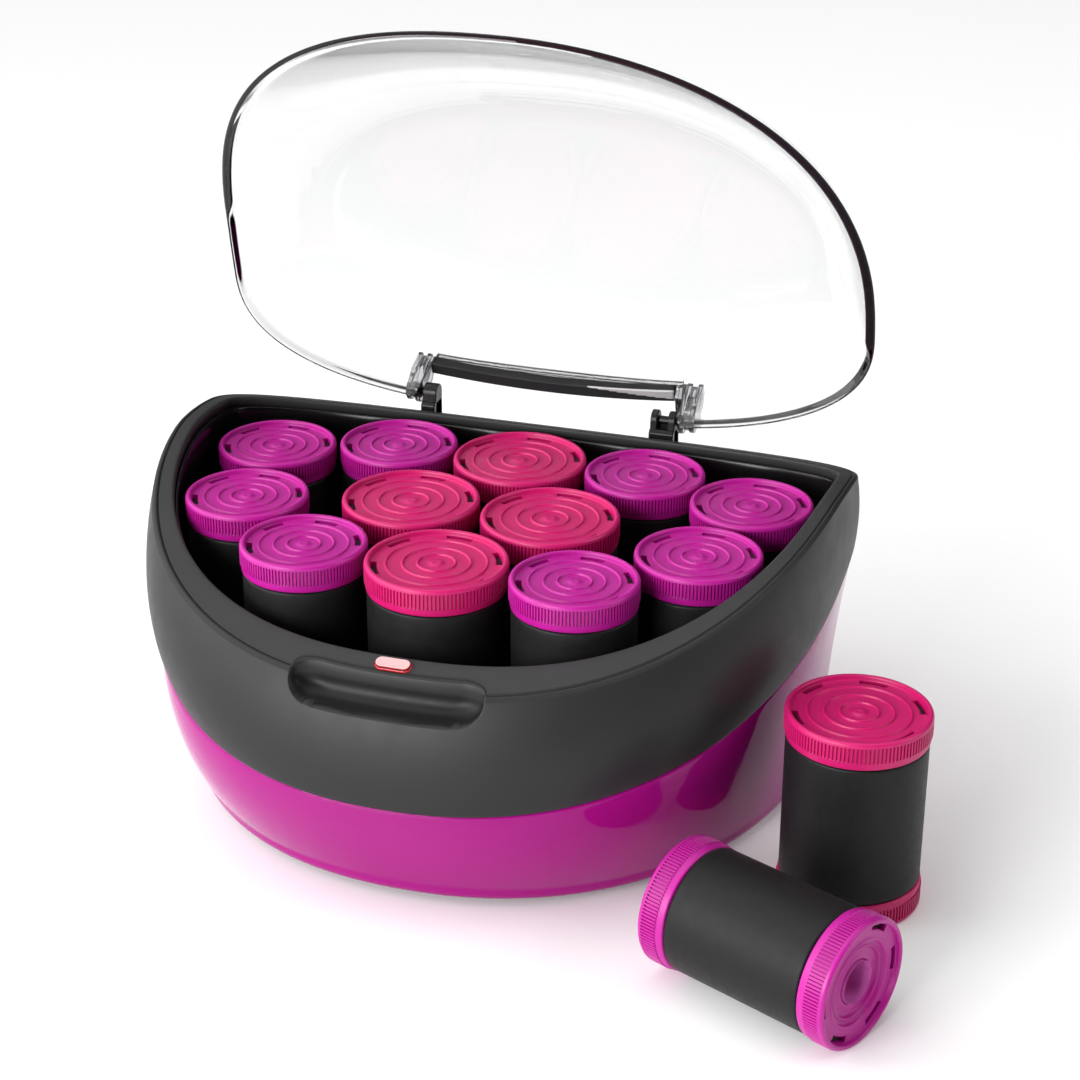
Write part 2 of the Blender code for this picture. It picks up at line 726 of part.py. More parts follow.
for i, (x, y, size) in enumerate(seats):
    place_roller("roller_%02d" % (i + 1), size, Matrix.Translation(Vector((x, y, SEAT_Z))))
place_roller("loose_standing", "j", Matrix.Translation(Vector((*LOOSE_STANDING, 0.0))))
turn = math.radians(LYING_TURN)
way = Vector((math.cos(turn), math.sin(turn), 0))
lying = (
    Matrix.Translation(Vector((*LOOSE_LYING, CAP_R["m"])) + way * (ROLLER_H / 2))
    @ Matrix.Rotation(turn, 4, "Z")
    @ Matrix.Rotation(-math.pi / 2, 4, "Y")
)
place_roller("loose_lying", "m", lying)
for i, (x, y, size) in enumerate(seats):
    print("seat %02d" % (i + 1), size, x, y)
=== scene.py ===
import math

import bmesh
import bpy
import numpy as np
from mathutils import Matrix, Vector


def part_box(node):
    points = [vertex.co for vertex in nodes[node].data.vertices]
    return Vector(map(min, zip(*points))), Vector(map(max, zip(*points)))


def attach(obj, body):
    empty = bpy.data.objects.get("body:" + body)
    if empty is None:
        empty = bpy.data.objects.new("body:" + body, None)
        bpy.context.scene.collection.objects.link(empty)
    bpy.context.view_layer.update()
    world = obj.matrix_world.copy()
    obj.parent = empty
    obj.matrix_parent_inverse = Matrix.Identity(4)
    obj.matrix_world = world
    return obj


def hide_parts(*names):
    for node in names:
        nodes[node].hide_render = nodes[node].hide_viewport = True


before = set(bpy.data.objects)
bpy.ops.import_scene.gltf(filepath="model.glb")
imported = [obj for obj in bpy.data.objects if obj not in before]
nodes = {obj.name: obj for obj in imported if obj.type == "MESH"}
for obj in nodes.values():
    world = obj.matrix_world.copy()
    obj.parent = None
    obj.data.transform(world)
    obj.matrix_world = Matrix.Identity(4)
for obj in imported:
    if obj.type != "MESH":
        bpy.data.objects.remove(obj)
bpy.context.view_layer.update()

MM = 0.001

# the case's own axes, in mm: x from its middle, y from the middle seat, z from the floor
bezel_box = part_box("upper_bezel")
pin_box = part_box("hinge_pin_left")
CASE_X = (bezel_box[0][0] + bezel_box[1][0]) / 2
CASE_Y = (pin_box[0][1] + pin_box[1][1]) / 2 - 35.0 * MM
HINGE = (35.0, (pin_box[0][2] + pin_box[1][2]) / 2 / MM)
ORG = Vector((CASE_X, CASE_Y, 0.0))


def mesh(name, verts, faces, mats, index=None, smooth=True, origin=None):
    """A mesh object from points in mm, in the case's axes unless an origin in metres is given."""
    me = bpy.data.meshes.new(name)
    v = np.asarray(verts, float) * MM
    me.from_pydata(v.tolist(), [], [tuple(int(i) for i in f) for f in faces])
    for m in mats:
        me.materials.append(m)
    if index is not None:
        me.polygons.foreach_set("material_index", np.asarray(index, np.int32))
    if smooth is True:
        me.shade_smooth()
    elif smooth is not False:
        me.polygons.foreach_set("use_smooth", np.asarray(smooth, bool))
    me.update()
    ob = bpy.data.objects.new(name, me)
    bpy.context.scene.collection.objects.link(ob)
    ob.location = ORG if origin is None else origin
    return ob


def grid_faces(rows, cols, closed=True, start=0):
    out = []
    for r in range(rows - 1):
        for c in range(cols if closed else cols - 1):
            d = (c + 1) % cols
            a, b = start + r * cols, start + (r + 1) * cols
            out.append((a + c, a + d, b + d, b + c))
    return out


def bevelled(ob, width, segments=3, angle=35):
    m = ob.modifiers.new("round", "BEVEL")
    m.width = width * MM
    m.segments = segments
    m.limit_method = "ANGLE"
    m.angle_limit = math.radians(angle)
    m.harden_normals = True
    return ob


# ---------------------------------------------------------------- materials
class Paint:
    """A Principled material with procedural colour drift, roughness drift and surface grain."""

    def __init__(self, name, rgb, rough, **sockets):
        self.m = bpy.data.materials.new(name)
        self.m.use_nodes = True
        self.t = self.m.node_tree
        self.p = self.t.nodes["Principled BSDF"]
        self.rgb = rgb
        self.p.inputs["Roughness"].default_value = rough
        self.p.inputs["Base Color"].default_value = (*rgb, 1)
        for k, v in sockets.items():
            self.p.inputs[k.replace("_", " ")].default_value = v
        self.m.diffuse_color = (*rgb, 1)
        self.co = self.t.nodes.new("ShaderNodeTexCoord")
        self.bump = None

    def noise(self, scale, detail=3.0, rough=0.5, stretch=None):
        n = self.t.nodes.new("ShaderNodeTexNoise")
        n.inputs["Scale"].default_value = scale
        n.inputs["Detail"].default_value = detail
        n.inputs["Roughness"].default_value = rough
        if stretch:
            mp = self.t.nodes.new("ShaderNodeMapping")
            mp.inputs["Scale"].default_value = stretch
            self.t.links.new(self.co.outputs["Object"], mp.inputs["Vector"])
            self.t.links.new(mp.outputs["Vector"], n.inputs["Vector"])
        else:
            self.t.links.new(self.co.outputs["Object"], n.inputs["Vector"])
        return n.outputs["Fac"]

    def drift(self, scale, amount, tint=None, detail=3.0):
        """Colour that wanders by amount between the base and a slightly different tone."""
        f = self.noise(scale, detail)
        mix = self.t.nodes.new("ShaderNodeMix")
        mix.data_type = "RGBA"
        other = tint or tuple(max(0.0, c * (1 - amount)) for c in self.rgb)
        lift = tuple(min(1.0, c * (1 + amount)) for c in self.rgb)
        mix.inputs[6].default_value = (*other, 1)
        mix.inputs[7].default_value = (*lift, 1)
        self.t.links.new(f, mix.inputs[0])
        self.t.links.new(mix.outputs[2], self.p.inputs["Base Color"])
        return self

    def shade(self, attribute, rgb):
        """Colour that turns to rgb where a vertex attribute reaches 1."""
        a = self.t.nodes.new("ShaderNodeAttribute")
        a.attribute_name = attribute
        mix = self.t.nodes.new("ShaderNodeMix")
        mix.data_type = "RGBA"
        mix.inputs[7].default_value = (*rgb, 1)
        self.t.links.new(self.p.inputs["Base Color"].links[0].from_socket, mix.inputs[6])
        self.t.links.new(a.outputs["Fac"], mix.inputs[0])
        self.t.links.new(mix.outputs[2], self.p.inputs["Base Color"])
        return self

    def rough(self, scale, low, high, detail=2.0):
        f = self.noise(scale, detail)
        r = self.t.nodes.new("ShaderNodeMapRange")
        r.inputs["From Min"].default_value = 0.3
        r.inputs["From Max"].default_value = 0.7
        r.inputs["To Min"].default_value = low
        r.inputs["To Max"].default_value = high
        self.t.links.new(f, r.inputs["Value"])
        self.t.links.new(r.outputs["Result"], self.p.inputs["Roughness"])
        return self

    def grain(self, scale, strength, distance=0.1, detail=2.0, kind="noise", stretch=None):
        b = self.t.nodes.new("ShaderNodeBump")
        b.inputs["Strength"].default_value = strength
        b.inputs["Distance"].default_value = distance * MM
        if kind == "noise":
            f = self.noise(scale, detail, stretch=stretch)
        else:
            n = self.t.nodes.new("ShaderNodeTexVoronoi")
            n.inputs["Scale"].default_value = scale
            self.t.links.new(self.co.outputs["Object"], n.inputs["Vector"])
            f = n.outputs["Distance"]
        self.t.links.new(f, b.inputs["Height"])
        if self.bump is not None:
            self.t.links.new(self.bump.outputs["Normal"], b.inputs["Normal"])
        self.t.links.new(b.outputs["Normal"], self.p.inputs["Normal"])
        self.bump = b
        return self


MAGENTA = (0.305, 0.0040, 0.172)
shell_mat = (
    Paint("shell_gloss_magenta", MAGENTA, 0.045, IOR=1.28)
    .drift(9, 0.03)
    .grain(90, 0.05, 0.05)
).m
bezel_mat = (
    Paint("bezel_charcoal", (0.0205, 0.0205, 0.0210), 0.42, IOR=1.31)
    .drift(30, 0.08)
    .rough(140, 0.40, 0.47)
    .grain(2600, 0.30, 0.03, 3)
    .grain(700, 0.10, 0.03)
    # painted shade: the finger recess is mixed towards near-black by the vertex attribute, standing in for the shade
    # inside it
    .shade("sunk_painted_shade", (0.0060, 0.0060, 0.0063))
).m
# painted light: the rim's top band is a lighter copy of the bezel charcoal, standing in for the light it catches
# facing up
band_mat = (
    Paint("rim_band_painted_light", (0.032, 0.032, 0.033), 0.46, IOR=1.30)
    .drift(40, 0.08)
    .rough(160, 0.42, 0.50)
    .grain(2600, 0.28, 0.03, 3)
).m
groove_mat = (
    Paint("groove_shadow", (0.008, 0.008, 0.008), 0.7).drift(60, 0.2).grain(1500, 0.2, 0.02)
).m
liner_mat = (
    Paint("liner_black", (0.005, 0.005, 0.0052), 0.20, IOR=1.34, Coat_Weight=0.12, Coat_Roughness=0.12)
    .drift(25, 0.15)
    .rough(60, 0.14, 0.22)
    .grain(260, 0.05, 0.05)
).m
tray_mat = (
    Paint("tray_black", (0.007, 0.007, 0.007), 0.35).drift(30, 0.15).rough(80, 0.3, 0.42).grain(900, 0.2, 0.05)
).m
trim_mat = (
    Paint("trim_black", (0.0065, 0.0060, 0.0065), 0.30, IOR=1.32, Coat_Weight=0.05, Coat_Roughness=0.2)
    .drift(50, 0.15)
    .rough(200, 0.26, 0.36)
    .grain(1800, 0.12, 0.03)
).m
base_mat = (
    Paint("base_black", (0.018, 0.018, 0.019), 0.6).drift(30, 0.12).rough(90, 0.52, 0.66).grain(1200, 0.3, 0.06)
).m
rubber_mat = (
    Paint("foot_rubber", (0.016, 0.016, 0.016), 0.86).drift(60, 0.2).grain(1500, 0.4, 0.08)
).m
alu_mat = (
    Paint("heater_aluminium", (0.60, 0.60, 0.61), 0.34, Metallic=1.0)
    .drift(40, 0.05)
    .rough(200, 0.28, 0.42)
    .grain(300, 0.15, 0.05, stretch=(1, 1, 0.05))
).m
steel_mat = (
    Paint("element_steel", (0.44, 0.43, 0.42), 0.3, Metallic=1.0).drift(60, 0.08).rough(200, 0.24, 0.38).grain(900, 0.12, 0.03)
).m
ceramic_mat = (
    Paint("thermostat_ceramic", (0.78, 0.76, 0.70), 0.55).drift(60, 0.05).grain(900, 0.25, 0.05)
).m


def cap_paint(name, rgb, side):
    return (
        Paint(name, rgb, 0.36, IOR=1.40)
        .drift(120, 0.035)
        .rough(170, 0.33, 0.41)
        .grain(2400, 0.10 if side else 0.08, 0.03)
    ).m


PURPLE = (0.445, 0.0085, 0.262)
PINK = (0.540, 0.0080, 0.130)
cap_mat = {"m": cap_paint("cap_purple", PURPLE, 0), "j": cap_paint("cap_pink", PINK, 0)}
# painted shade: the ribbed sides are the face colour made 8% darker
rib_mat = {
    "m": cap_paint("cap_purple_ribs_painted_shade", tuple(c * 0.92 for c in PURPLE), 1),
    "j": cap_paint("cap_pink_ribs_painted_shade", tuple(c * 0.92 for c in PINK), 1),
}
# painted light: the socket's bore is the cap plastic made much paler, standing in for light shining into it
socket_lit_mat = (
    Paint("socket_painted_light", (0.66, 0.15, 0.50), 0.30, IOR=1.42).drift(120, 0.06).rough(170, 0.26, 0.36).grain(1400, 0.08, 0.03)
).m
# painted shade: the near-black floor of the shallow arc-slot pockets stands in for the shade down the slots
slot_shade_mat = (
    Paint("cap_slot_painted_shade", (0.016, 0.004, 0.010), 0.7).drift(100, 0.2).grain(1500, 0.2, 0.03)
).m
flock_mat = (
    Paint("barrel_flock", (0.0105, 0.0105, 0.0108), 0.47, Sheen_Weight=0.02, Sheen_Roughness=0.35, IOR=1.28)
    .drift(260, 0.22, detail=5)
    .rough(420, 0.43, 0.52)
    .grain(5200, 0.45, 0.05, 4)
    .grain(1100, 0.12, 0.05, 3)
).m

lid_paint = Paint(
    "lid_clear",
    (0.985, 0.99, 0.99),
    0.0,
    IOR=1.49,
    Transmission_Weight=1.0,
)
lid_paint.drift(12, 0.004)
lid_paint.rough(40, 0.0, 0.012)
lid_mat = lid_paint.m
# painted shade: a near-black band on the clear lid's lip, narrow on the left and wider on the right
lip_shade_mat = (
    Paint("lid_lip_painted_shade", (0.010, 0.009, 0.010), 0.22, IOR=1.30).drift(40, 0.2).rough(120, 0.18, 0.28).grain(300, 0.05, 0.03)
).m
# painted shade: the knuckles are the lid's clear plastic tinted mid-grey to darken them
knuckle_paint = Paint("lid_knuckle_clear_painted_shade", (0.52, 0.52, 0.54), 0.0, IOR=1.49, Transmission_Weight=1.0)
knuckle_paint.drift(60, 0.03)
knuckle_paint.rough(90, 0.0, 0.02)
knuckle_shade_mat = knuckle_paint.m
bar_paint = Paint("hinge_bar_dark", (0.022, 0.022, 0.023), 0.34, IOR=1.22)
bar_paint.drift(40, 0.25).rough(120, 0.30, 0.40).grain(300, 0.05, 0.03)
bar_mat = bar_paint.m
# painted highlight: a pale, lit copy for the bar's underside towards the right
bar_highlight = Paint("hinge_bar_painted_highlight", (0.42, 0.42, 0.42), 0.16, Coat_Weight=0.5, Coat_Roughness=0.05)
bar_highlight.drift(40, 0.15).rough(120, 0.12, 0.2).grain(300, 0.05, 0.03)
bar_highlight_mat = bar_highlight.m

lens_mat = (
    Paint("lens_rose", (0.66, 0.40, 0.40), 0.22, IOR=1.42, Subsurface_Weight=0.10)
    .drift(300, 0.10)
    .rough(400, 0.18, 0.30)
    .grain(900, 0.25, 0.05)
).m
lens_edge_mat = (
    Paint("lens_red_edge", (0.60, 0.020, 0.028), 0.16, IOR=1.42).drift(200, 0.15).grain(600, 0.10, 0.03)
).m
# painted shade: the lens's side wall is near-black red, standing in for the shaded gap round the pill
lens_side_shade_mat = (
    Paint("lens_side_painted_shade", (0.060, 0.006, 0.008), 0.18, IOR=1.42).drift(200, 0.15).grain(600, 0.10, 0.03)
).m
lamp_mat = (
    Paint("lamp_red", (0.7, 0.04, 0.03), 0.2, Emission_Color=(1.0, 0.10, 0.05, 1.0), Emission_Strength=0.6)
    .drift(200, 0.1)
    .grain(600, 0.1, 0.03)
).m

for name, m in {
    "roller_tray": tray_mat,
    "heater_plate": alu_mat,
    "heating_element": steel_mat,
    "thermostat": ceramic_mat,
    "indicator_lamp": lamp_mat,
    "hinge_pin_left": trim_mat,
    "hinge_pin_right": trim_mat,
    "base_plate": base_mat,
    "cord_gland": trim_mat,
    "foot_front_left": rubber_mat,
    "foot_front_right": rubber_mat,
    "foot_rear_left": rubber_mat,
    "foot_rear_right": rubber_mat,
}.items():
    for s in nodes[name].material_slots:
        s.material = m

# ---------------------------------------------------------------- case outlines
RIM = (116.4, 131.5, 2.40, 31.5, 2.60)
BULGE = (117.6, 138.4, 2.45, 33.2, 2.60)
SEAM = (116.8, 140.8, 2.25, 33.4, 2.60)
WAIST = (111.8, 134.8, 2.43, 32.0, 2.60)
SKIRTING = (109.6, 127.3, 2.16, 28.6, 2.60)
GROUND = (106.6, 124.4, 2.16, 26.0, 2.60)
MOUTH = (109.9, 118.6, 2.50, 25.0, 2.50)
WELL_FOOT = (107.0, 114.6, 2.50, 24.0, 2.50)


def rim_z(y):
    d = (-24.0 - y) / 100.0
    return np.where(d > 0, 109.8 - 29.0 * np.abs(d) ** 1.5, 109.8 - 32.0 * d * d)


def seam_z(y):
    return 80.8 + 0.277 * y


def at(shape, t):
    a, bf, pf, bb, pb = shape
    c, s = np.cos(t), np.sin(t)
    p = np.where(s < 0, pf, pb)
    b = np.where(s < 0, bf, bb)
    return a * np.sign(c) * np.abs(c) ** (2 / p), b * np.sign(s) * np.abs(s) ** (2 / p)


def grown(shape, by):
    a, bf, pf, bb, pb = shape
    return (a + by, bf + by, pf, bb + by, pb)


def mixed(shapes, weights):
    return tuple(sum(w * s[i] for s, w in zip(shapes, weights)) for i in range(5))


def columns(shape, spacing):
    """Parameter values round an outline, closer together where spacing(x, y) is small."""
    t = np.linspace(-math.pi / 2, 1.5 * math.pi, 60001)
    x, y = at(shape, t)
    ds = np.hypot(np.diff(x), np.diff(y))
    w = ds / spacing(0.5 * (x[1:] + x[:-1]), 0.5 * (y[1:] + y[:-1]))
    run = np.concatenate([[0], np.cumsum(w)])
    n = int(math.ceil(run[-1]))
    return np.interp(np.arange(n) / n * run[-1], run, t)


def smooth(x, a, b):
    f = np.clip((x - a) / (b - a), 0, 1)
    return f * f * (3 - 2 * f)


# ---------------------------------------------------------------- upper bezel
RECESS_X, RECESS_HALF, RECESS_IN, RECESS_DROP, RECESS_ROUND = -1.0, 31.2, 5.6, 7.3, 4.6
RECESS_END = 9.0                  # length of its rounded ends


def near_recess(x, y):
    ax = np.abs(x - RECESS_X)
    front = y < -60
    s = np.where(front & (ax < 22), 0.9, 2.2)
    s = np.where(front & (ax >= 22) & (ax < 34), 0.35, s)
    return s


tb = columns(RIM, near_recess)
NB = len(tb)


def rim_front_y(x):
    return -131.5 * (1 - np.clip(np.abs(x) / 116.4, 0, 1) ** 2.4) ** (1 / 2.4)


def end_share(ax, half):
    """1 along the recess, falling to 0 round its ends."""
    e = np.clip((ax - (half - RECESS_END)) / RECESS_END, 0, 1)
    return np.sqrt(np.maximum(0, 1 - e * e))


def bite(x, y):
    """How far the finger recess eats into the rim's front edge."""
    return np.where(y < -60, RECESS_IN * end_share(np.abs(x - RECESS_X), RECESS_HALF), 0.0)


def recess_back(x, z):
    """Y of the recess's wall; far in front where there's no recess."""
    v = RIM_FRONT - z
    ax = np.abs(x - RECESS_X)
    k = np.clip((v - (RECESS_DROP - RECESS_ROUND)) / RECESS_ROUND, 0, 1)
    foot = RECESS_ROUND * (1 - np.sqrt(np.maximum(0, 1 - k * k)))
    k = np.clip((v - (RECESS_DROP - 7.6)) / 7.6, 0, 1)
    half = RECESS_HALF - 8.0 * (1 - np.sqrt(np.maximum(0, 1 - k * k)))
    y = rim_front_y(x) + RECESS_IN * end_share(ax, half) - foot
    return y - 9.0 * np.clip(ax - half, 0, None) - 9.0 * np.clip(v - RECESS_DROP, 0, None)


RIM_FRONT = float(rim_z(np.array(-131.5)))
rows, tags = [], []


def add(x, y, z, tag):
    rows.append(np.stack([x, y, z], 1))
    tags.append(tag)


def rim_row(shape, drop, tag, bite_share=1.0, sink=None):
    x, y = at(shape, tb)
    y2 = y + bite(x, y) * bite_share
    z = rim_z(y2) - drop
    if sink is not None:
        keep = np.where(y < -60, smooth(np.abs(x - RECESS_X), 28.9, 32.0), 1.0)
        z = z - sink * (0.22 + 0.78 * keep)
    add(x, y2, z, tag)


# inside, from the lip's foot up
rim_row(grown(MOUTH, 0.55), 5.2, "liner", 0)
rim_row(grown(MOUTH, 0.55), 3.1, "groove", 0)
rim_row(grown(MOUTH, 0.0), 2.9, "band", 0)
rim_row(grown(MOUTH, 0.0), 0.9, "band", 0)
rim_row(grown(MOUTH, 0.12), 0.42, "band", 0)
rim_row(grown(MOUTH, 0.42), 0.10, "band", 0)
rim_row(grown(MOUTH, 0.9), 0.0, "band", 0)
rim_row(mixed((MOUTH, RIM), (0.72, 0.28)), 0.0, "band", 0.16)
rim_row(mixed((MOUTH, RIM), (0.5, 0.5)), 0.0, "band", 0.46)
for off, sink, tag in (
    (2.35, 0.0, "band"),
    (2.05, 0.0, "groove"),
    (1.95, 0.5, "groove"),
    (1.60, 0.5, "groove"),
    (1.50, 0.0, "bezel"),
):
    rim_row(grown(RIM, -off), 0.0, tag, 0.97, sink)
rim_row(grown(RIM, -0.9), 0.0, "bezel", 0.98)
rim_row(grown(RIM, -0.42), 0.12, "bezel", 1)
rim_row(grown(RIM, -0.13), 0.40, "bezel", 1)
recess_shade_rows = {}
wall_q = list(np.concatenate([np.linspace(0.016, 0.36, 40), np.linspace(0.385, 1.0, 19)]))
for q in wall_q:
    w = (
        (q - 0.48) * (q - 1) / ((0 - 0.48) * (0 - 1)),
        q * (q - 1) / (0.48 * (0.48 - 1)),
        q * (q - 0.48) / (1 * (1 - 0.48)),
    )
    x, y = at(mixed((RIM, BULGE, SEAM), w), tb)
    z = rim_z(y) * (1 - q) + seam_z(y) * q
    xr, yr = at(RIM, tb)
    z = rim_z(yr) * (1 - q) + seam_z(y) * q
    back = np.where(y < -60, recess_back(x, z), -1e3)
    k = 0.07
    y2 = 0.5 * (y + back + np.sqrt((y - back) ** 2 + k * k))
    y2 = np.where(back < y - 6, y, y2)
    # painted shade: how far the wall sinks into the finger recess sets how dark its colour is painted
    recess_shade_rows[len(rows)] = smooth(y2 - y, 0.05, 1.1) * smooth(RIM_FRONT - z, 0.5, 2.2)
    add(x, y2, z, "bezel")
x, y = at(grown(SEAM, -0.25), tb)
add(x, y, seam_z(y) - 0.25, "bezel")
x, y = at(grown(SEAM, -2.4), tb)
add(x, y, seam_z(y) - 0.3, "groove")
mats = {"bezel": 0, "band": 1, "groove": 2, "liner": 3}
faces = grid_faces(len(rows), NB)
index = []
for r in range(len(rows) - 1):
    index += [mats[tags[r + 1]]] * NB
faces = [f[::-1] for f in faces]
bezel = mesh("bezel_body", np.concatenate(rows), faces, [bezel_mat, band_mat, groove_mat, liner_mat], index)
# the painted recess shade, one value a point
sunk_painted_shade = np.concatenate([recess_shade_rows.get(r, np.zeros(NB)) for r in range(len(rows))])
bezel.data.attributes.new("sunk_painted_shade", "FLOAT", "POINT").data.foreach_set("value", sunk_painted_shade.astype(np.float32))
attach(bezel, "case")
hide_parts("upper_bezel")

# the glossy liner of the well, standing just inside the rim
tl = columns(MOUTH, lambda x, y: np.full_like(x, 2.4))
rows = []
for off, drop in ((0.5, 6.0), (0.45, 4.2), (0.1, 3.75), (-0.35, 3.6), (-0.8, 3.75), (-1.05, 4.2)):
    x, y = at(grown(MOUTH, off), tl)
    rows.append(np.stack([x, y, rim_z(y) - drop], 1))
x0, y0 = at(grown(MOUTH, -1.05), tl)
x1, y1 = at(grown(WELL_FOOT, -0.9), tl)
for q in np.linspace(0.06, 1, 18):
    x, y = x0 * (1 - q) + x1 * q, y0 * (1 - q) + y1 * q
    z = (rim_z(y0) - 4.2) * (1 - q) + 36.0 * q
    rows.append(np.stack([x, y, z], 1))
for k in range(1, 6):
    a = math.pi / 2 * k / 5
    x, y = at(grown(WELL_FOOT, -0.9 - 2.2 * (1 - math.cos(a))), tl)
    rows.append(np.stack([x, y, np.full_like(x, 36.0 - 2.2 * math.sin(a))], 1))
liner = mesh("well_liner", np.concatenate(rows), [f for f in grid_faces(len(rows), len(tl))], [liner_mat])
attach(liner, "case")

# ---------------------------------------------------------------- lower shell
ts = columns(SEAM, lambda x, y: np.full_like(x, 2.0))


def shell_ring(q, inset=0.0):
    """Outline a fraction q of the way from the seam to the foot."""
    ladder = ((0.0, SEAM), (0.47, WAIST), (0.90, SKIRTING), (1.0, GROUND))
    ks = [k for k, _ in ladder]
    shape = tuple(
        float(np.interp(q, ks, [s[i] for _, s in ladder])) if q > 0.9 else
        float(lagrange(q, ks[:3], [s[i] for _, s in ladder[:3]]))
        for i in range(5)
    )
    return grown(shape, -inset)


def lagrange(q, ks, vs):
    total = 0.0
    for i, (k, v) in enumerate(zip(ks, vs)):
        w = 1.0
        for j, o in enumerate(ks):
            if j != i:
                w *= (q - o) / (k - o)
        total += w * v
    return total


rows = []
for inset, drop in ((2.6, 0.55), (1.2, 0.5), (0.62, 0.62), (0.35, 0.95)):
    x, y = at(grown(SEAM, -inset), ts)
    rows.append(np.stack([x, y, seam_z(y) - drop], 1))
for q in np.linspace(0.03, 0.90, 30):
    x, y = at(shell_ring(q, 0.25), ts)
    top = seam_z(y)
    rows.append(np.stack([x, y, top + (7.5 - top) * (q / 0.90)], 1))
last = at(shell_ring(0.90, 0.25), ts)
foot = at(grown(GROUND, -0.6), ts)
for k in range(1, 9):
    a = math.pi / 2 * k / 8
    f = 1 - math.cos(a)
    x = last[0] * (1 - f) + foot[0] * f
    y = last[1] * (1 - f) + foot[1] * f
    rows.append(np.stack([x, y, np.full_like(x, 7.5 - 4.7 * math.sin(a))], 1))
for inset, z in ((2.0, 2.8), (2.6, 3.4), (2.6, 8.0)):
    x, y = at(grown(GROUND, -inset), ts)
    rows.append(np.stack([x, y, np.full_like(x, z)], 1))
shell = mesh("shell_body", np.concatenate(rows), [f[::-1] for f in grid_faces(len(rows), len(ts))], [shell_mat])
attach(shell, "case")
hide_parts("lower_shell")


# ---------------------------------------------------------------- hinge brackets
def profile_x(pts, x0, x1):
    n = len(pts)
    v = [(x0, y, z) for y, z in pts] + [(x1, y, z) for y, z in pts]
    f = [tuple(range(n))[::-1], tuple(range(n, 2 * n))]
    f += [(i, (i + 1) % n, n + (i + 1) % n, n + i) for i in range(n)]
    return v, f


def fixed(ob):
    """Faces turned outwards."""
    bm = bmesh.new()
    bm.from_mesh(ob.data)
    bmesh.ops.remove_doubles(bm, verts=bm.verts, dist=1e-7)
    bmesh.ops.recalc_face_normals(bm, faces=bm.faces)
    bm.to_mesh(ob.data)
    bm.free()
    return ob


def several(*solids):
    v, f = [], []
    for a, b in solids:
        k = len(v)
        v += list(a)
        f += [tuple(i + k for i in one) for one in b]
    return v, f


for tag, prongs, foot in (
    ("left", ((-46.95, -41.75),), (-46.95, -41.75)),
    ("right", ((37.65, 40.2), (43.9, 46.55)), (37.65, 46.55)),
):
    parts = []
    for x0, x1 in prongs:
        pts = [(37.9, 96.0)]
        for k in range(13):
            a = math.pi * k / 12
            pts.append((35.0 + 3.3 * math.cos(a), 106.0 + 3.3 * math.sin(a)))
        pts.append((30.3, 96.0))
        parts.append(profile_x(pts, x0, x1))
    pts = [(38.2, 92.0), (38.2, 102.4), (37.6, 103.6), (30.6, 103.6), (29.6, 102.6), (29.2, 92.0)]
    parts.append(profile_x(pts, foot[0], foot[1]))
    ob = mesh("hinge_bracket_" + tag, *several(*parts), [trim_mat], smooth=True)
    fixed(ob)
    bevelled(ob, 0.45, 3, 30)
    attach(ob, "case")

# ---------------------------------------------------------------- lens
slope = math.atan(float(rim_z(np.array(-120.2)) - rim_z(np.array(-124.2))) / 4.0)
LENS_Y = -122.2
lens_at = Matrix.Translation(Vector((RECESS_X, LENS_Y, float(rim_z(np.array(LENS_Y)))))) @ Matrix.Rotation(slope, 4, "X")


def pill(half, radius, n=14):
    pts = []
    for k in range(n + 1):
        a = -math.pi / 2 + math.pi * k / n
        pts.append((half - radius + radius * math.cos(a), radius * math.sin(a)))
    for k in range(n + 1):
        a = math.pi / 2 + math.pi * k / n
        pts.append((-half + radius + radius * math.cos(a), radius * math.sin(a)))
    return pts


rows = []
for inset, z in (
    (-0.12, -1.6), (-0.12, 0.12), (-0.06, 0.30), (0.14, 0.36), (0.16, 0.95),
    (0.20, 1.12), (0.34, 1.28), (0.50, 1.36), (0.62, 1.37), (0.80, 1.30), (1.2, 1.28),
):
    rows.append([(x, y, z) for x, y in pill(5.8 - inset, 2.15 - inset)])
n = len(rows[0])
v = [p for r in rows for p in r]
f = grid_faces(len(rows), n)
f.append(tuple(range((len(rows) - 1) * n, len(rows) * n)))
# material by row: red flange, painted shade on the side wall, red edge, then the rose top
idx = [1] * (3 * n) + [2] * (2 * n) + [1] * n + [0] * ((len(rows) - 7) * n) + [0]
v = [tuple(lens_at @ Vector(p)) for p in v]
lens = mesh("lens_pill", v, f, [lens_mat, lens_edge_mat, lens_side_shade_mat], idx)
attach(lens, "case")
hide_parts("indicator_lens")

# ---------------------------------------------------------------- lid
LID_OPEN = 72.5
LID_EDGE = (115.5, 122.9, 2.24, 43.2, 2.67)
LID_SHIFT_Y = -8.5
LID_T = 2.0
LID_TOP = 146.0
LID_SIDE_IN, LID_FRONT_IN, LID_BACK_IN = 27.0, 74.0, 16.0
NOTCH_HALF, NOTCH_TOP = 49.2, HINGE[1] + 13.0
LID_MID_Y = LID_SHIFT_Y + 0.5 * (LID_EDGE[3] - LID_BACK_IN - LID_EDGE[1] + LID_FRONT_IN)
open_turn = (
    Matrix.Translation(Vector((0, HINGE[0], HINGE[1])))
    @ Matrix.Rotation(math.radians(-LID_OPEN), 4, "X")
    @ Matrix.Translation(Vector((0, -HINGE[0], -HINGE[1])))
)
lid_turn = np.array(open_turn)


def opened(p):
    p = np.asarray(p, float)
    return p @ lid_turn[:3, :3].T + lid_turn[:3, 3]


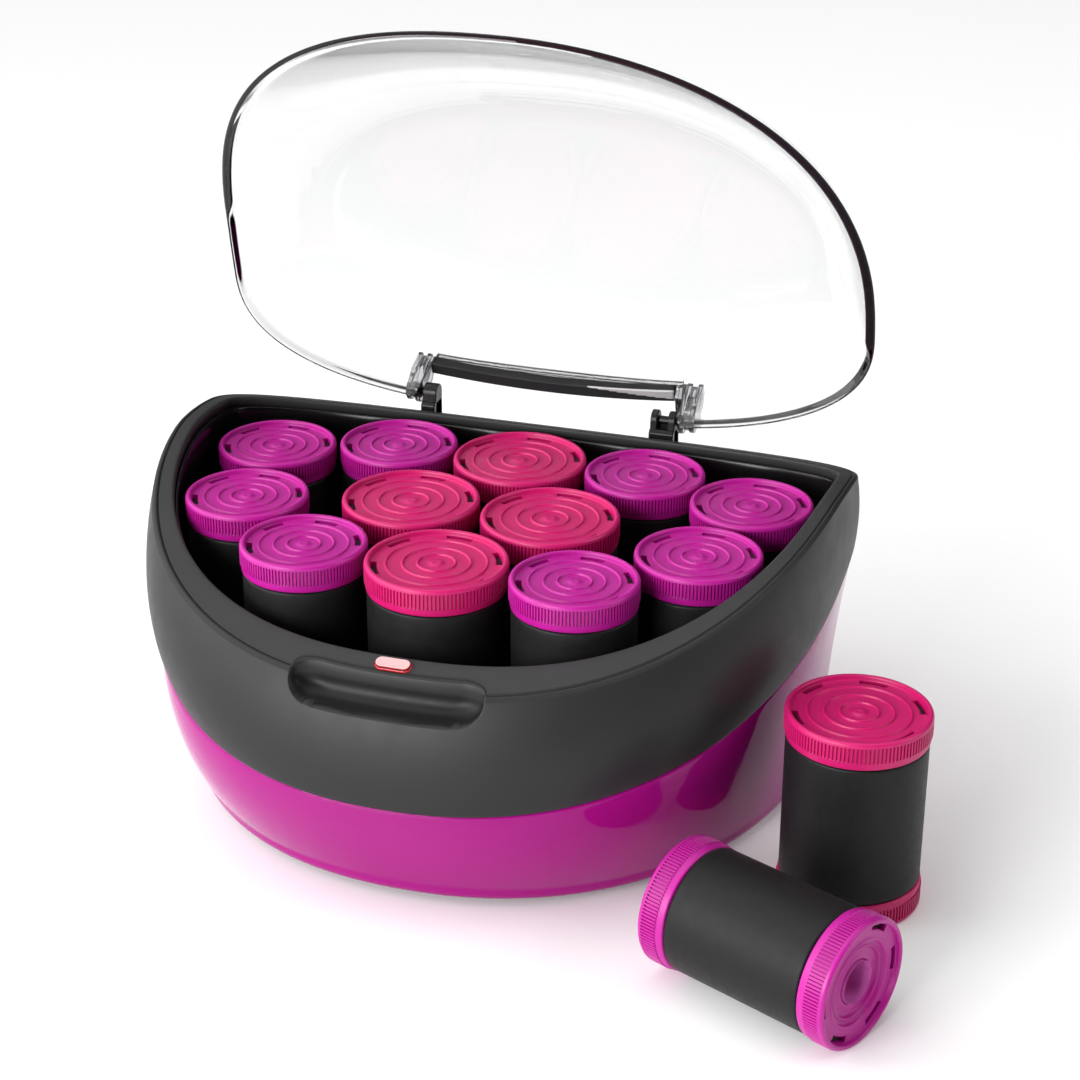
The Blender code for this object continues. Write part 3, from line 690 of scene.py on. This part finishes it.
def lid_spacing(x, y):
    back = y > 20
    s = np.full_like(x, 2.4)
    return np.where(back & (np.abs(np.abs(x) - NOTCH_HALF) < 1.5), 0.12, s)


tlid = columns(LID_EDGE, lid_spacing)


def lid_point(s, skin, t, low_from=None):
    a, bf, pf, bb, pb = LID_EDGE
    x, y = at(
        (
            a - LID_SIDE_IN * s**1.25 - skin,
            bf - LID_FRONT_IN * s - skin,
            pf,
            bb - LID_BACK_IN * s**1.25 - skin,
            pb,
        ),
        t,
    )
    xe, ye = at(grown(LID_EDGE, -skin), t)
    low = rim_z(ye + LID_SHIFT_Y) + 0.6
    h = np.sin(math.pi / 2 * s)
    return np.stack([x, y + LID_SHIFT_Y, low + (LID_TOP - skin - low) * h], 1)


LADDER = np.concatenate([[0, 0.004, 0.009, 0.015, 0.022, 0.03, 0.04, 0.052, 0.067], np.linspace(0.09, 1.0, 28)])
ex, ey = at(LID_EDGE, tlid)
front_share = np.where(ex > 0, smooth(-(ey + LID_SHIFT_Y), -2.0, 6.0), smooth(-(ey + LID_SHIFT_Y), 28.0, 40.0))


def lip_extra(f):
    """The lip is a thick bead round the front and sides and tapers thin towards the hinge."""
    bead = 1.25 * (1 - smooth(f, 0.030, 0.055))
    taper = -1.35 * (1 - smooth(f, 0.0, 0.045))
    return bead * front_share + taper * (1 - front_share)


def lid_rows(skin):
    """Rows from the edge to the crown, starting higher across the hinge notch."""
    xe, ye = at(LID_EDGE, tlid)
    edge_in = skin + lip_extra(0.0) if skin > 0 else 0.0
    c, sn = np.cos(tlid), np.sin(tlid)
    p = np.where(sn < 0, LID_EDGE[2], LID_EDGE[4])
    reach = np.where(sn < 0, LID_EDGE[1], LID_EDGE[3]) - edge_in
    low = rim_z(reach * np.sign(sn) * np.abs(sn) ** (2 / p) + LID_SHIFT_Y) + 0.6
    inside = (ye > 20) & (np.abs(xe) < NOTCH_HALF)
    s_notch = np.arcsin(np.clip((NOTCH_TOP - low) / (LID_TOP - low), 0, 1)) * 2 / math.pi
    s0 = np.where(inside, s_notch, 0.0)
    out = []
    for f in LADDER:
        s = s0 + (1 - s0) * f
        pts = np.empty((len(tlid), 3))
        a, bf, pf, bb, pb = LID_EDGE
        c, sn = np.cos(tlid), np.sin(tlid)
        p = np.where(sn < 0, pf, pb)
        inset = skin + lip_extra(f) if skin > 0 else 0.0
        ax = a - LID_SIDE_IN * s**1.25 - inset
        by = np.where(sn < 0, bf - LID_FRONT_IN * s - inset, bb - LID_BACK_IN * s**1.25 - inset)
        pts[:, 0] = ax * np.sign(c) * np.abs(c) ** (2 / p)
        pts[:, 1] = by * np.sign(sn) * np.abs(sn) ** (2 / p) + LID_SHIFT_Y
        h = np.sin(math.pi / 2 * s)
        pts[:, 2] = low + (LID_TOP - skin - low) * h
        out.append(pts)
    top = out[-1]
    for g, up in ((0.86, 0.42), (0.70, 0.86), (0.52, 1.22), (0.34, 1.48), (0.17, 1.64)):
        pts = top.copy()
        pts[:, 0] *= g
        pts[:, 1] = LID_MID_Y + (pts[:, 1] - LID_MID_Y) * g
        pts[:, 2] = LID_TOP - skin + up
        out.append(pts)
    return out


outer = lid_rows(0.0)
inner = lid_rows(LID_T)
lip = []
for f in (0.2, 0.5, 0.8):
    a = outer[0] * (1 - f) + inner[0] * f
    a[:, 2] -= 0.30 * math.sin(math.pi * f)
    lip.append(a)
stack = outer[::-1] + lip + inner
n = len(tlid)
v = np.concatenate(stack + [np.array([[0, LID_MID_Y, LID_TOP + 1.7], [0, LID_MID_Y, LID_TOP - LID_T + 1.7]])])
f = grid_faces(len(stack), n)
m = len(stack) * n
f += [(m, (i + 1) % n, i) for i in range(n)]
k = (len(stack) - 1) * n
f += [(m + 1, k + i, k + (i + 1) % n) for i in range(n)]
# painted shade on the lip: a dark band, narrow on the left, the whole lip on the right, none towards the hinge
index = [0] * len(f)
lip_shade_share = 0.36 + 0.64 * smooth(ex, -40.0, 70.0)
for step, far in enumerate((0.2, 0.5, 0.8, 1.0)):
    r = len(outer) - 1 + step
    for i in range(n):
        if front_share[i] > 0.5 and front_share[(i + 1) % n] > 0.5 and far <= lip_shade_share[i] + 0.15:
            index[r * n + i] = 1
lid = mesh("lid_dome", opened(v), f, [lid_mat, lip_shade_mat], index)
fixed(lid)
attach(lid, "lid")
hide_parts("lid")

# clear knuckles: a cheek plate with a turned boss round the pin, on each side of the notch
for tag, cheeks, web in (
    ("left", ((-49.9, -47.9, 4.0), (-53.3, -51.5, 3.4)), (-51.5, -49.9)),
    ("right", ((47.45, 49.5, 4.0), (51.5, 53.3, 3.4)), (49.5, 51.5)),
):
    solids = []
    for x0, x1, r in cheeks:
        pts = []
        for k in range(17):
            a = -math.pi + math.pi * k / 16
            pts.append((HINGE[0] + r * math.cos(a), HINGE[1] + r * math.sin(a)))
        pts += [(HINGE[0] + r - 0.2, HINGE[1] + 6.0), (HINGE[0] + 2.6, HINGE[1] + 10.8)]
        pts += [(HINGE[0] - 1.8, HINGE[1] + 14.7), (HINGE[0] - 6.2, HINGE[1] + 13.8), (HINGE[0] - 6.4, HINGE[1] + 5.0)]
        solids.append(profile_x(pts, x0, x1))
    pts = [(HINGE[0] + 2.7 * math.cos(2 * math.pi * k / 24), HINGE[1] + 2.7 * math.sin(2 * math.pi * k / 24)) for k in range(24)]
    solids.append(profile_x(pts, *web))
    pts = [(HINGE[0] - 5.6, HINGE[1] + 7.6), (HINGE[0] + 1.6, HINGE[1] + 6.8), (HINGE[0] - 1.0, HINGE[1] + 13.4), (HINGE[0] - 5.4, HINGE[1] + 13.0)]
    solids.append(profile_x(pts, *web))
    if tag == "right":
        pts = [(HINGE[0] + 2.3, HINGE[1] + 6.1), (HINGE[0] + 2.3, HINGE[1] + 10.5), (HINGE[0] - 1.8, HINGE[1] + 14.1)]
        pts += [(HINGE[0] - 5.9, HINGE[1] + 13.4), (HINGE[0] - 5.9, HINGE[1] + 6.1)]
        solids.append(profile_x(pts, 44.35, 47.45))
    vv, ff = several(*solids)
    ob = mesh("lid_knuckle_" + tag, opened(vv), ff, [knuckle_shade_mat])
    fixed(ob)
    bevelled(ob, 0.35, 3, 30)
    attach(ob, "lid")

# the dark bar across the notch's top, following the lid's curved back, with a painted highlight: a pale grey strip on
# its underside that widens towards the right
rows, index = [], []
count = 92
BAR_X = (-47.0, 43.5)
for i in range(count):
    u = 2 * i / (count - 1) - 1
    xx = 0.5 * (BAR_X[0] + BAR_X[1]) + 0.5 * (BAR_X[1] - BAR_X[0]) * u
    y0, z0 = 28.55 + 2.7 * (1 - u * u), HINGE[1] + 8.45
    w, h = 4.7, 4.1
    ring = []
    for cx, cz in ((1, 1), (-1, 1), (-1, -1), (1, -1)):
        for k in range(4):
            a = math.atan2(cz, cx) - math.pi / 4 + math.pi / 2 * k / 3
            ring.append((xx, y0 + w / 2 + cx * (w / 2 - 0.5) + 0.5 * math.cos(a), z0 + h / 2 + cz * (h / 2 - 0.5) + 0.5 * math.sin(a)))
        if (cx, cz) == (-1, -1):
            for k in range(1, 10):
                ring.append((xx, y0 + 0.5 + (w - 1.0) * k / 10, z0))
    rows.append(ring)
n = len(rows[0])
for i in range(count - 1):
    xx = rows[i][0][0]
    # painted highlight: the pale strip widens towards the right
    lit = 0.80 * min(1.0, max(0.0, (xx - 11.0) / 31.0))
    for k in range(n):
        share = (k - 10) / 11.0
        index.append(1 if 8 <= k < 21 and share < lit - 0.02 and lit > 0.0 else 0)
f = grid_faces(count, n)
f.append(tuple(range(n)))
f.append(tuple(range((count - 1) * n, count * n)))
index += [0, 0]
bar = mesh("hinge_bar_bowed", opened([p for r in rows for p in r]), f, [bar_mat, bar_highlight_mat], index)
fixed(bar)
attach(bar, "lid")
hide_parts("lid_hinge_bar")

# ---------------------------------------------------------------- rollers
CAP_R = {"m": 20.5, "j": 22.9}
BARREL_R = {"m": 19.8, "j": 22.2}
CAP_H, ROLLER_H = 9.3, 67.0
SOCKET_R, SOCKET_DEEP = 6.8, 46.0
RIBS = {"m": 116, "j": 116}


def cap_mesh(name, size, bottom):
    """A detailed end cap, its face up at z = CAP_H and its skirt down to z = 0."""
    R = CAP_R[size]
    verts, faces, index, flat = [], [], [], []

    def band(radii_z, ts, mat, soft, ribs=None):
        """Rings of points; radii_z is a list of (r, z) or (r, z, rib depth)."""
        start = len(verts)
        for item in radii_z:
            r, z = item[0], item[1]
            dip = item[2] if len(item) > 2 else 0.0
            for j, t in enumerate(ts):
                rr = r - dip * (ribs[j] if ribs is not None else 0.0)
                verts.append((rr * math.cos(t), rr * math.sin(t), z))
        n = len(ts)
        for q in grid_faces(len(radii_z), n, True, start):
            faces.append(q[::-1])
            index.append(mat)
            flat.append(soft)

    # ribbed side
    N = RIBS[size]
    ts, rib = [], []
    pitch = 2 * math.pi / N
    for i in range(N):
        for frac, deep in ((0.0, 0.0), (0.42, 0.0), (0.56, 1.0), (0.86, 1.0)):
            ts.append(pitch * (i + frac))
            rib.append(deep)
    top = CAP_H
    side = [
        (R - 0.06, top - 1.25, 0.0),
        (R, top - 1.55, 0.0),
        (R, top - 1.85, 0.55),
        (R, top - 6.35, 0.55),
        (R - 0.02, top - 6.6, 0.50),
        (R - 0.42, top - 6.9, 0.0),
    ]
    band(side, ts, 1, False, rib)
    # smooth skirt under the ribs
    even = [2 * math.pi * k / 144 for k in range(144)]
    band(
        [(R - 0.40, top - 6.88), (R - 0.46, top - 7.1), (R - 0.42, 0.55), (R - 0.62, 0.16), (R - 1.1, 0.0), (R - 3.4, 0.0)],
        even,
        0,
        True,
    )
    # rounded rim
    rim = []
    for k in range(9):
        a = math.pi / 2 * k / 8
        rim.append((R - 1.10 + 1.06 * math.cos(a), top - 1.27 + 1.27 * math.sin(a)))
    rim += [(R - 1.36, top - 0.01), (R - 1.62, top - 0.10), (R - 1.80, top - 0.30), (R - 1.90, top - 0.62), (R - 1.95, top - 1.0)]
    band(rim, even, 0, True)

    # face: a height field with sharp pockets for the arc slots, their floors painted near-black as shade
    slot_half = math.radians(13.0)
    turn = math.radians(10.0)
    cols = set(round(2 * math.pi * k / 96, 6) for k in range(96))
    for k in range(6):
        c = turn + k * math.pi / 3
        for e in (-slot_half, slot_half):
            for d in (-0.010, 0.0, 0.010):
                cols.add(round((c + e + d) % (2 * math.pi), 6))
    cols = sorted(cols)
    face_z = top - 1.62
    f_r, f_z = [], []

    def pt(r, z):
        f_r.append(r)
        f_z.append(z)

    pt(R - 1.95, top - 1.0)
    pt(R - 1.99, top - 1.34)
    pt(R - 2.06, top - 1.52)
    pt(R - 2.14, face_z + 0.02)
    pt(R - 2.18, face_z)
    pt(R - 4.05, face_z)
    pt(R - 4.10, face_z)
    pt(R - 4.7, face_z)

    def ridge(c, half, high, soft=0.16):
        pt(c + half + soft + 0.14, face_z)
        pt(c + half + soft, face_z)
        pt(c + half + soft * 0.45, face_z + high * 0.32)
        pt(c + half, face_z + high * 0.82)
        pt(c + half * 0.55, face_z + high)
        pt(c - half * 0.55, face_z + high)
        pt(c - half, face_z + high * 0.82)
        pt(c - half - soft * 0.45, face_z + high * 0.32)
        pt(c - half - soft, face_z)
        pt(c - half - soft - 0.14, face_z)

    if not bottom:
        ridge(0.70 * R, 0.30, 0.62)
        pt(0.585 * R, face_z - 0.05)
        ridge(0.47 * R, 0.30, 0.62)
        pt(0.355 * R, face_z - 0.05)
        ridge(0.262 * R, 0.30, 0.62)
        pt(0.17 * R, face_z - 0.05)
        pt(0.105 * R, face_z)
        pt(0.088 * R, face_z + 0.30)
        pt(0.060 * R, face_z + 0.48)
        pt(0.030 * R, face_z + 0.40)
        pt(0.004 * R, face_z + 0.34)
    else:
        for share, rise in (
            (0.700, 0.0), (0.688, 0.10), (0.676, 0.30), (0.660, 0.34), (0.648, 0.22), (0.640, -0.05),
            (0.632, -0.62), (0.622, -0.80), (0.590, -0.84), (0.574, -0.72), (0.566, -0.52), (0.552, -0.48),
            (0.542, -0.60), (0.534, -0.95), (0.526, -1.42), (0.515, -1.58), (0.470, -1.62), (0.430, -1.46),
            (0.400, -1.20),
        ):
            pt(share * R, face_z + rise)
        pt(SOCKET_R + 0.55, face_z - 1.06)
        pt(SOCKET_R + 0.25, face_z - 1.12)
        pt(SOCKET_R + 0.04, face_z - 1.38)
        pt(SOCKET_R - 0.05, face_z - 1.9)
        pt(SOCKET_R - 0.10, 0.4)
    start = len(verts)
    deep = 1.7
    r_in, r_out = R - 4.07, R - 2.16
    for r, z in zip(f_r, f_z):
        for t in cols:
            zz = z
            for k in range(6):
                c = turn + k * math.pi / 3
                d = (t - c + math.pi) % (2 * math.pi) - math.pi
                if abs(d) < slot_half - 0.004 and r_in - 0.001 < r < r_out + 0.001:
                    zz = z - deep
            verts.append((r * math.cos(t), r * math.sin(t), zz))
    n = len(cols)
    for i in range(len(f_r) - 1):
        mid_r = 0.5 * (f_r[i] + f_r[i + 1])
        for j in range(n):
            q = (start + i * n + j, start + i * n + (j + 1) % n, start + (i + 1) * n + (j + 1) % n, start + (i + 1) * n + j)
            zs = [verts[p][2] for p in q]
            faces.append(q[::-1])
            # faces down in a slot pocket get the painted slot shade
            sunk_painted_shade = max(zs) < face_z - 1.2 and mid_r > R - 5
            index.append(2 if (sunk_painted_shade and not (bottom and mid_r < SOCKET_R + 1)) else 0)
            flat.append(not (max(zs) - min(zs) > 1.0 and mid_r > R - 5))
    if not bottom:
        c = len(verts)
        verts.append((0, 0, face_z + 0.33))
        last = start + (len(f_r) - 1) * n
        for j in range(n):
            faces.append((c, last + j, last + (j + 1) % n))
            index.append(0)
            flat.append(True)
    me = bpy.data.meshes.new(name)
    me.from_pydata((np.asarray(verts) * MM).tolist(), [], faces)
    for m in (cap_mat[size], rib_mat[size], slot_shade_mat):
        me.materials.append(m)
    me.polygons.foreach_set("material_index", np.asarray(index, np.int32))
    me.polygons.foreach_set("use_smooth", np.asarray(flat, bool))
    bm = bmesh.new()
    bm.from_mesh(me)
    bmesh.ops.recalc_face_normals(bm, faces=bm.faces)
    bm.to_mesh(me)
    bm.free()
    me.update()
    return me


def turned(name, profile, n, mats, index=None):
    """Mesh data of an open profile of (r, z) turned about Z, faces outwards for a profile running up."""
    v = []
    for r, z in profile:
        for k in range(n):
            a = 2 * math.pi * k / n
            v.append((r * math.cos(a), r * math.sin(a), z))
    me = bpy.data.meshes.new(name)
    me.from_pydata((np.asarray(v) * MM).tolist(), [], grid_faces(len(profile), n))
    for m in mats:
        me.materials.append(m)
    if index:
        me.polygons.foreach_set("material_index", np.repeat(np.asarray(index, np.int32), n))
    me.shade_smooth()
    return me


cap_data, barrel_data = {}, {}
for size in ("m", "j"):
    cap_data[size, "top"] = cap_mesh("cap_top_" + size, size, False)
    cap_data[size, "bottom"] = cap_mesh("cap_bottom_" + size, size, True)
    B = BARREL_R[size]
    prof = [(SOCKET_R + 0.4, CAP_H + 0.3), (B - 0.5, CAP_H + 0.3), (B - 0.12, CAP_H + 0.42)]
    prof += [(B, CAP_H + 0.3 + 0.8 + (ROLLER_H - 2 * CAP_H - 2.2) * k / 24) for k in range(25)]
    prof += [(B - 0.12, ROLLER_H - CAP_H - 0.42), (B - 0.5, ROLLER_H - CAP_H - 0.3), (0.5, ROLLER_H - CAP_H - 0.3)]
    barrel_data[size] = turned("barrel_" + size, prof, 96, [flock_mat])
    sock = [(SOCKET_R - 0.10, 1.9), (SOCKET_R - 0.2, 10.0), (SOCKET_R - 0.45, SOCKET_DEEP - 3.0)]
    for k in range(1, 9):
        a = math.pi / 2 * k / 8
        sock.append(((SOCKET_R - 0.45) * math.cos(a) + 0.02, SOCKET_DEEP - 3.0 + 2.4 * math.sin(a)))
    me = turned("socket_" + size, sock, 48, [socket_lit_mat])
    me.flip_normals()
    barrel_data[size, "socket"] = me


def put(name, data, matrix, body, slot, *replaced):
    ob = bpy.data.objects.new(name, data)
    bpy.context.scene.collection.objects.link(ob)
    ob.matrix_world = matrix
    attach(ob, body)
    if replaced:
        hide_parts(*replaced)
    return ob


def centre_of(node):
    lo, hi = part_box(node)
    return (Vector(lo) + Vector(hi)) / 2


tags = ["roller_%02d" % (i + 1) for i in range(12)] + ["loose_standing", "loose_lying"]
for i, tag in enumerate(tags):
    lo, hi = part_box(tag + "_cap_bottom")
    bottom, topc = centre_of(tag + "_cap_bottom"), centre_of(tag + "_cap_top")
    axis = (topc - bottom).normalized()
    length = (topc - bottom).length / MM
    diameter = (Vector(hi) - Vector(lo)).y / MM if abs(axis.z) > 0.5 else (Vector(hi) - Vector(lo)).z / MM
    size = "j" if diameter > 43 else "m"
    start = bottom - axis * (CAP_H / 2) * MM
    rot = axis.to_track_quat("Z", "Y").to_matrix().to_4x4()
    spin = Matrix.Rotation(math.radians(17 if i < 13 else 10), 4, "Z")
    base = Matrix.Translation(start) @ rot @ spin
    colour = "cap_pink" if size == "j" else "cap_purple"
    put(tag + "_top", cap_data[size, "top"], base @ Matrix.Translation((0, 0, (ROLLER_H - CAP_H) * MM)), tag, colour, tag + "_cap_top")
    put(
        tag + "_bottom",
        cap_data[size, "bottom"],
        base @ Matrix.Translation((0, 0, CAP_H * MM)) @ Matrix.Rotation(math.pi, 4, "X"),
        tag,
        colour,
        tag + "_cap_bottom",
    )
    put(tag + "_sleeve", barrel_data[size], base, tag, "flock_black", tag + "_barrel")
    put(tag + "_socket", barrel_data[size, "socket"], base, tag, colour)

# ---------------------------------------------------------------- stage
floor_paint = Paint("floor_pale", (0.93, 0.93, 0.93), 0.75, IOR=1.12, Emission_Color=(1.0, 1.0, 1.0, 1.0), Emission_Strength=0.08)
floor_paint.drift(3, 0.006).grain(40, 0.01, 0.2)
me = bpy.data.meshes.new("floor")
me.from_pydata([(-6, -6, 0), (6, -6, 0), (6, 6, 0), (-6, 6, 0)], [], [(0, 1, 2, 3)])
me.materials.append(floor_paint.m)
floor = bpy.data.objects.new("floor", me)
bpy.context.scene.collection.objects.link(floor)

world = bpy.data.worlds.new("studio")
bpy.context.scene.world = world
world.use_nodes = True
wt = world.node_tree
bg = wt.nodes["Background"]
bg.inputs["Color"].default_value = (1, 1, 1, 1)
way = wt.nodes.new("ShaderNodeTexCoord")


def lobe(direction, start, stop, low, high):
    """Strength by direction: low outside a soft-edged cone, high inside it."""
    d = Vector(direction).normalized()
    dot = wt.nodes.new("ShaderNodeVectorMath")
    dot.operation = "DOT_PRODUCT"
    dot.inputs[1].default_value = d
    wt.links.new(way.outputs["Generated"], dot.inputs[0])
    r = wt.nodes.new("ShaderNodeMapRange")
    r.interpolation_type = "SMOOTHSTEP"
    r.inputs["From Min"].default_value = start
    r.inputs["From Max"].default_value = stop
    r.inputs["To Min"].default_value = low
    r.inputs["To Max"].default_value = high
    wt.links.new(dot.outputs["Value"], r.inputs["Value"])
    return r.outputs["Result"]


def combine(operation, a, b):
    n = wt.nodes.new("ShaderNodeMath")
    n.operation = operation
    wt.links.new(a, n.inputs[0])
    wt.links.new(b, n.inputs[1])
    return n.outputs["Value"]


overhead = lobe((-0.72, -0.10, 0.69), 0.05, 0.75, 0.10, 2.10)
unlit = lobe((0.45, -0.85, 0.30), 0.30, 0.75, 1.0, 0.06)
behind = lobe((-0.15, 0.92, 0.36), 0.45, 0.90, 1.0, 0.22)
wt.links.new(combine("MULTIPLY", combine("MULTIPLY", overhead, unlit), behind), bg.inputs["Strength"])


def area(name, at_mm, aim_mm, size, power, colour=(1, 1, 1)):
    d = bpy.data.lights.new(name, "AREA")
    d.shape = "RECTANGLE"
    d.size, d.size_y = size
    d.energy = power
    d.color = colour
    ob = bpy.data.objects.new(name, d)
    bpy.context.scene.collection.objects.link(ob)
    p = ORG + Vector(at_mm) * MM
    ob.location = p
    ob.rotation_mode = "QUATERNION"
    ob.rotation_quaternion = (ORG + Vector(aim_mm) * MM - p).to_track_quat("-Z", "Y")
    return ob


area("key_left", (-1300, -650, 700), (0, -40, 60), (0.9, 0.8), 5)
area("key_front", (-560, -1500, 520), (0, -40, 60), (0.9, 0.7), 23.5)
area("fill_right", (1300, 100, 800), (0, -40, 60), (0.7, 0.9), 6)

cam_data = bpy.data.cameras.new("camera")
cam_data.lens = 80.0
cam_data.sensor_width = 36.0
cam = bpy.data.objects.new("camera", cam_data)
bpy.context.scene.collection.objects.link(cam)
cam.matrix_world = (
    Matrix.Translation(ORG + Vector((232.3, -722.3, 425.85)) * MM)
    @ Matrix.Rotation(math.radians(17.3), 4, "Z")
    @ Matrix.Rotation(math.radians(64.81), 4, "X")
    @ Matrix.Rotation(math.radians(0.169), 4, "Z")
)
cam_data.clip_start, cam_data.clip_end = 0.01, 50
bpy.context.scene.camera = cam
bpy.context.scene.view_settings.view_transform = "Standard"
bpy.context.scene.view_settings.look = "None"
